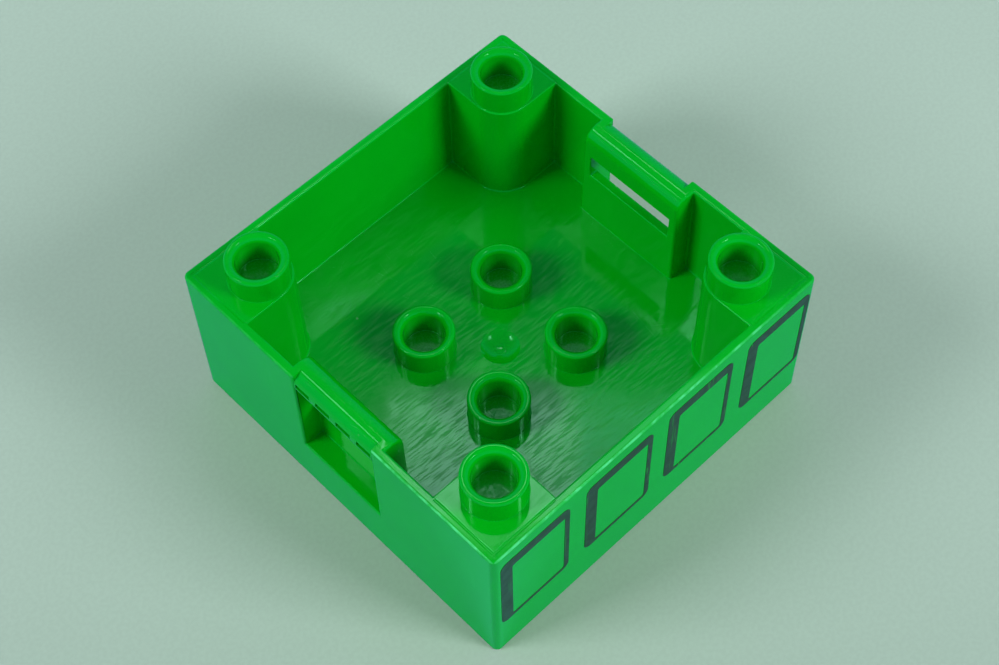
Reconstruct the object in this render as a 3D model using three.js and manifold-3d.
// Building-brick storage box: an open square tray, four studs long on each side, with a stud
// on a post in every corner, a cluster of four studs on the floor and a finger grip in two
// facing walls. The box is one plastic moulding with four frames printed on its front wall.
// It is modelled as the sections that the moulding is made up of: walls, floor, posts,
// studs, grips and the tubes underneath, which meet face to face.
// Millimetres, +Z up. The origin is the middle of the footprint, on the surface that the box
// stands on. The front, with the printed frames, faces -Y, and the grips are in the X walls.

import * as THREE from "three";
import { mergeVertices } from "three/addons/utils/BufferGeometryUtils.js";
import Module from "manifold-3d";

// Driving dimensions: the brick grid
const studPitch = 16;
const studsPerSide = 4;
const neighbourGap = 0.2; // play between this box and the next one on the same baseplate
const rimHeight = 28.8;
const floorTop = 9.6;

// Driving dimensions: floor and walls
const floorThickness = 1.5;
const wallThickness = 1.5;
const cornerRadius = 1;

// Driving dimensions: studs
const studRadius = 4.7;
const studHeight = 4.4;
const boreRadius = 3.15;
const boreSink = 0.5; // how far the bore goes below the surface that the stud stands on
const studEdge = 0.4; // chamfer on both edges of the stud's top ring

// Driving dimensions: corner posts, cored out from below
const postRadius = 5; // round inner corner, about the stud's axis
const postWall = 1.6;
const postRoof = 1.8;

// Driving dimensions: grips
const gripWidth = 16; // clear width of the window, and the length of the bar
const gripDepth = 4.9; // from the wall's outer face to the housing's inner face
const barHeight = 5.1;
const barRound = 2.3; // along both top edges
const barUnderRound = 2.4; // lower edge, outside
const barPockets = 4; // shallow pockets in a row in the bar's outer face
const pocketPitch = 4.2;
const pocketWidth = 2.9;
const pocketHeight = 1;
const pocketDepth = 2;
const pocketDrop = 1.75; // from the rim down to the pockets
const housingWall = 1.5;
const slotHeight = 4.4; // finger slot between the bar and the panel below it

// Driving dimensions: underside
const tubeWall = 1.5;
const clutchPlay = 0.05; // from a stud of the box below to a tube or a rib
const ribWidth = 1.2;
const ribRecess = 1; // how far the ribs stop above the surface that the box stands on

// Driving dimensions: round mark in the middle of the floor
const markRadius = 3;
const markDepth = 0.8; // a bowl, deepest in the middle

// Driving dimensions: printed frames, seen from the front
const frameWidth = 13;
const frameHeight = 18.15;
const frameFoot = 8.05; // height of the frames' lower edge
const frameShift = 0.1; // how far the whole print sits off the wall's middle
const frameSpread = 0.2; // how much wider than the studs the frames are spaced
const leftBand = 2.15;
const topBand = 2.2;
const rightBand = 0.9;
const footBand = 0.65;
const frameRound = 1.3;
const paneRound = 0.45; // corners of the bare pane inside the frame
const inkThickness = 0.05;

// How far every cutting body reaches past the face that it cuts
const overrun = 1;

// Facets: round bodies, and each arc of an outline
const roundFacets = 32;
const arcFacets = 4;

// Sizes that follow from the driving dimensions
const half = (studsPerSide * studPitch - neighbourGap) / 2;
const innerHalf = half - wallThickness;
const cornerStud = ((studsPerSide - 1) * studPitch) / 2;
const floorStud = studPitch / 2;
const floorUnderside = floorTop - floorThickness;
const housingFace = half - gripDepth;
const housingBack = housingFace + housingWall;
const barFoot = rimHeight - barHeight;
const panelTop = barFoot - slotHeight;
const tubeRadius = studPitch / Math.SQRT2 - studRadius - clutchPlay;
const ribTip = cornerStud + studRadius + clutchPlay;

const wasm = await Module();
wasm.setup();

const plastic = () => new THREE.MeshStandardMaterial({ color: 0x06a233, roughness: 0.2, metalness: 0 });
const ink = () => new THREE.MeshStandardMaterial({ color: 0x2c4638, roughness: 0.45, metalness: 0 });

// Closed solid from a closed geometry
function solidOf(geometry) {
  geometry.deleteAttribute("normal");
  geometry.deleteAttribute("uv");
  const welded = mergeVertices(geometry);
  const vertProperties = welded.attributes.position.array;
  const triVerts = Uint32Array.from(welded.index.array);
  return new wasm.Manifold(new wasm.Mesh({ numProp: 3, vertProperties, triVerts }));
}

// Geometry from a solid, for a mesh
function geometryOf(solid) {
  const { vertProperties, triVerts } = solid.getMesh();
  const geometry = new THREE.BufferGeometry();
  geometry.setAttribute("position", new THREE.BufferAttribute(vertProperties, 3));
  geometry.setIndex(new THREE.BufferAttribute(triVerts, 1));
  geometry.computeVertexNormals();
  return geometry;
}

// Box between two opposite corners
function block(low, high) {
  const size = high.map((value, axis) => value - low[axis]);
  const middle = high.map((value, axis) => (value + low[axis]) / 2);
  return solidOf(new THREE.BoxGeometry(...size).translate(...middle));
}

// Outline in the ground plane, raised from one height to another
function raised(shape, low, high) {
  const options = { depth: high - low, bevelEnabled: false, curveSegments: arcFacets };
  return solidOf(new THREE.ExtrudeGeometry(shape, options).translate(0, 0, low));
}

// Section of X and height, standing in the plane Y = 0 and swept towards -Y
function swept(section, width) {
  const options = { depth: width, bevelEnabled: false, curveSegments: arcFacets };
  return solidOf(new THREE.ExtrudeGeometry(section, options).rotateX(Math.PI / 2));
}

// Disc or plug on the Z axis
function plug(radius, low, high) {
  const geometry = new THREE.CylinderGeometry(radius, radius, high - low, roundFacets);
  return solidOf(geometry.rotateX(Math.PI / 2).translate(0, 0, (low + high) / 2));
}

// Body of revolution about Z from a closed profile of [radius, height] points
function turned(profile) {
  const points = [...profile, profile[0]].map(([radius, height]) => new THREE.Vector2(radius, height));
  return solidOf(new THREE.LatheGeometry(points, roundFacets).rotateX(Math.PI / 2));
}

// Rectangle with its own radius at each corner: lower left, lower right, upper right, upper left
function roundedRectangle(path, left, foot, right, top, radii) {
  const corners = [
    [left + radii[0], foot + radii[0], Math.PI],
    [right - radii[1], foot + radii[1], -Math.PI / 2],
    [right - radii[2], top - radii[2], 0],
    [left + radii[3], top - radii[3], Math.PI / 2],
  ];
  corners.forEach(([x, y, start], index) => {
    const radius = radii[index];
    const arrive = [x + radius * Math.cos(start), y + radius * Math.sin(start)];
    if (index === 0) {
      path.moveTo(...arrive);
    } else {
      path.lineTo(...arrive);
    }
    if (radius > 0) {
      path.absarc(x, y, radius, start, start + Math.PI / 2, false);
    }
  });
  path.closePath();
  return path;
}

// Places along a wall that the studs of the box below come up against
function studColumns() {
  return Array.from({ length: studsPerSide }, (_, index) => index * studPitch - cornerStud);
}

// Ribs on the inside of the wall at +X, below the floor, one for each stud below
function ribs() {
  return studColumns().map((along) => {
    const low = [ribTip, along - ribWidth / 2, ribRecess];
    const high = [innerHalf + wallThickness / 2, along + ribWidth / 2, floorUnderside];
    return block(low, high);
  });
}

// Front wall, made at -Y: it takes both corners of the box, with their rounded edges
function longWall() {
  const outline = new THREE.Shape();
  roundedRectangle(outline, -half, -half, half, -innerHalf, [cornerRadius, cornerRadius, 0, 0]);
  const wall = raised(outline, 0, rimHeight);
  return ribs().reduce((sum, rib) => sum.add(rib.rotate([0, 0, -90])), wall);
}

// Side wall, made at +X, between the front and back walls, open where the grip is
function gripWall() {
  const slab = block([innerHalf, -innerHalf, 0], [half, innerHalf, rimHeight]);
  const low = [innerHalf - overrun, -gripWidth / 2, floorTop];
  const high = [half + overrun, gripWidth / 2, rimHeight + overrun];
  const wall = slab.subtract(block(low, high));
  return ribs().reduce((sum, rib) => sum.add(rib), wall);
}

// Section swept to an equal width on both sides of Y = 0
function sweptAcross(section, width) {
  return swept(section, width).translate([0, width / 2, 0]);
}

// Top of a grip's section on the cavity side, from the rim round to the housing's inner face
function innerShoulder(section) {
  const centre = [housingFace + barRound, rimHeight - barRound];
  section.lineTo(centre[0], rimHeight);
  section.absarc(...centre, barRound, Math.PI / 2, Math.PI, false);
  section.closePath();
}

// Rounded bar that the fingers hold, at +X, with the row of pockets in its outer face
function gripBar() {
  const section = new THREE.Shape();
  section.moveTo(housingFace, barFoot);
  section.lineTo(half - barUnderRound, barFoot);
  section.absarc(half - barUnderRound, barFoot + barUnderRound, barUnderRound, -Math.PI / 2, 0, false);
  section.lineTo(half, rimHeight - barRound);
  section.absarc(half - barRound, rimHeight - barRound, barRound, 0, Math.PI / 2, false);
  innerShoulder(section);
  const pocketTop = rimHeight - pocketDrop;
  const pockets = Array.from({ length: barPockets }, (_, index) => {
    const along = (index - (barPockets - 1) / 2) * pocketPitch;
    const low = [half - pocketDepth, along - pocketWidth / 2, pocketTop - pocketHeight];
    return block(low, [half + overrun, along + pocketWidth / 2, pocketTop]);
  });
  return pockets.reduce((bar, pocket) => bar.subtract(pocket), sweptAcross(section, gripWidth));
}

// Housing behind the window at +X: two cheeks that carry the bar, and a panel below the slot
function gripHousing() {
  const section = new THREE.Shape();
  section.moveTo(housingFace, floorTop);
  section.lineTo(innerHalf, floorTop);
  section.lineTo(innerHalf, rimHeight);
  innerShoulder(section);
  const hull = sweptAcross(section, gripWidth + 2 * housingWall);
  const pocketLow = [housingBack, -gripWidth / 2, floorTop - overrun];
  const pocketHigh = [innerHalf + overrun, gripWidth / 2, rimHeight + overrun];
  const slotLow = [housingFace - overrun, -gripWidth / 2, panelTop];
  return hull.subtract(block(pocketLow, pocketHigh)).subtract(block(slotLow, pocketHigh));
}

// Plan of a corner post about its stud's axis: round towards the box's middle, and square
// towards the walls at +X and +Y, as far as the given reach
function postPlan(radius, reach) {
  const plan = new THREE.Shape();
  plan.moveTo(reach, -radius);
  plan.lineTo(reach, reach);
  plan.lineTo(-radius, reach);
  plan.lineTo(-radius, 0);
  plan.absarc(0, 0, radius, Math.PI, 1.5 * Math.PI, false);
  plan.closePath();
  return plan;
}

// Corner post, open at its foot, with the bottom of its stud's bore sunk in its roof
function cornerPost() {
  const reach = innerHalf - cornerStud;
  const body = raised(postPlan(postRadius, reach), floorTop, rimHeight);
  const corePlan = postPlan(postRadius - postWall, reach + overrun);
  const core = raised(corePlan, floorTop - overrun, rimHeight - postRoof);
  return body.subtract(core).subtract(plug(boreRadius, rimHeight - boreSink, rimHeight + overrun));
}

// Hollow stud, standing on Z = 0
function stud() {
  return turned([
    [boreRadius, 0],
    [studRadius, 0],
    [studRadius, studHeight - studEdge],
    [studRadius - studEdge, studHeight],
    [boreRadius + studEdge, studHeight],
    [boreRadius, studHeight - studEdge],
  ]);
}

// Tube under the floor that four studs of the box below grip
function clutchTube() {
  return turned([
    [tubeRadius - tubeWall, 0],
    [tubeRadius, 0],
    [tubeRadius, floorUnderside],
    [tubeRadius - tubeWall, floorUnderside],
  ]);
}

// The four quarter turns that repeat a feature in every corner
function quarterTurns() {
  return [0, 1, 2, 3].map((turn) => (turn * Math.PI) / 2);
}

// Place at the given distance along both axes, turned into one of the four corners
function cornerPlace(distance, turn) {
  return new THREE.Vector3(distance, distance, 0).applyAxisAngle(new THREE.Vector3(0, 0, 1), turn);
}

// Ball that leaves a bowl of the given radius and depth in a flat top, about Z
function bowl(radius, depth, top) {
  const ball = (radius ** 2 + depth ** 2) / (2 * depth);
  const geometry = new THREE.SphereGeometry(ball, roundFacets, roundFacets).rotateX(Math.PI / 2);
  return solidOf(geometry).translate([0, 0, top - depth + ball]);
}

// Floor plate, open below each hollow post, with the bores' bottoms and the round mark sunk in
function floorPlate() {
  const corePlan = postPlan(postRadius - postWall, innerHalf - cornerStud + overrun);
  const core = raised(corePlan, floorUnderside - overrun, floorTop + overrun);
  const bore = plug(boreRadius, floorTop - boreSink, floorTop + overrun);
  const mark = bowl(markRadius, markDepth, floorTop);
  const plate = block([-innerHalf, -innerHalf, floorUnderside], [innerHalf, innerHalf, floorTop]);
  return quarterTurns().reduce((sum, turn) => {
    const degrees = THREE.MathUtils.radToDeg(turn);
    const post = core.translate([cornerStud, cornerStud, 0]).rotate([0, 0, degrees]);
    const blind = bore.translate([floorStud, floorStud, 0]).rotate([0, 0, degrees]);
    return sum.subtract(post).subtract(blind);
  }, plate.subtract(mark));
}

// Printed frame about X = 0, in the plane Y = 0, its ink standing out towards -Y
function printedFrame() {
  const left = -frameWidth / 2;
  const right = frameWidth / 2;
  const top = frameFoot + frameHeight;
  const frame = new THREE.Shape();
  roundedRectangle(frame, left, frameFoot, right, top, Array(4).fill(frameRound));
  const pane = new THREE.Path();
  const paneEdges = [left + leftBand, frameFoot + footBand, right - rightBand, top - topBand];
  roundedRectangle(pane, ...paneEdges, Array(4).fill(paneRound));
  frame.holes.push(pane);
  return swept(frame, inkThickness);
}

const box = new THREE.Group();
box.name = "building_block_storage_box";

// Adds one named piece, moved to a place and turned about the vertical
function add(name, solid, material, place = new THREE.Vector3(), turn = 0) {
  const mesh = new THREE.Mesh(geometryOf(solid), material);
  mesh.name = name;
  mesh.position.copy(place);
  mesh.rotation.z = turn;
  box.add(mesh);
}

add("floor_plate", floorPlate(), plastic());

add("front_wall", longWall(), plastic());
add("back_wall", longWall(), plastic(), new THREE.Vector3(), Math.PI);

for (const [side, turn] of [["right", 0], ["left", Math.PI]]) {
  const middle = new THREE.Vector3();
  add(`${side}_wall`, gripWall(), plastic(), middle, turn);
  add(`${side}_grip_housing`, gripHousing(), plastic(), middle, turn);
  add(`${side}_grip_bar`, gripBar(), plastic(), middle, turn);
}

const corners = ["back_right", "back_left", "front_left", "front_right"];
corners.forEach((corner, index) => {
  const turn = quarterTurns()[index];
  const post = cornerPlace(cornerStud, turn);
  const studOnPost = post.clone().setZ(rimHeight);
  const studOnFloor = cornerPlace(floorStud, turn).setZ(floorTop);
  add(`${corner}_post`, cornerPost(), plastic(), post, turn);
  add(`${corner}_post_stud`, stud(), plastic(), studOnPost, turn);
  add(`${corner}_floor_stud`, stud(), plastic(), studOnFloor, turn);
});

// One tube between every four studs of the box below
const tubeRows = studsPerSide - 1;
for (let row = 0; row < tubeRows; row += 1) {
  for (let column = 0; column < tubeRows; column += 1) {
    const x = (column - (tubeRows - 1) / 2) * studPitch;
    const y = (row - (tubeRows - 1) / 2) * studPitch;
    add(`clutch_tube_${row + 1}_${column + 1}`, clutchTube(), plastic(), new THREE.Vector3(x, y, 0));
  }
}

studColumns().forEach((column, index) => {
  const spacing = (studPitch + frameSpread) / studPitch;
  const place = new THREE.Vector3(column * spacing + frameShift, -half, 0);
  add(`printed_frame_${index + 1}`, printedFrame(), ink(), place);
});

export default box;
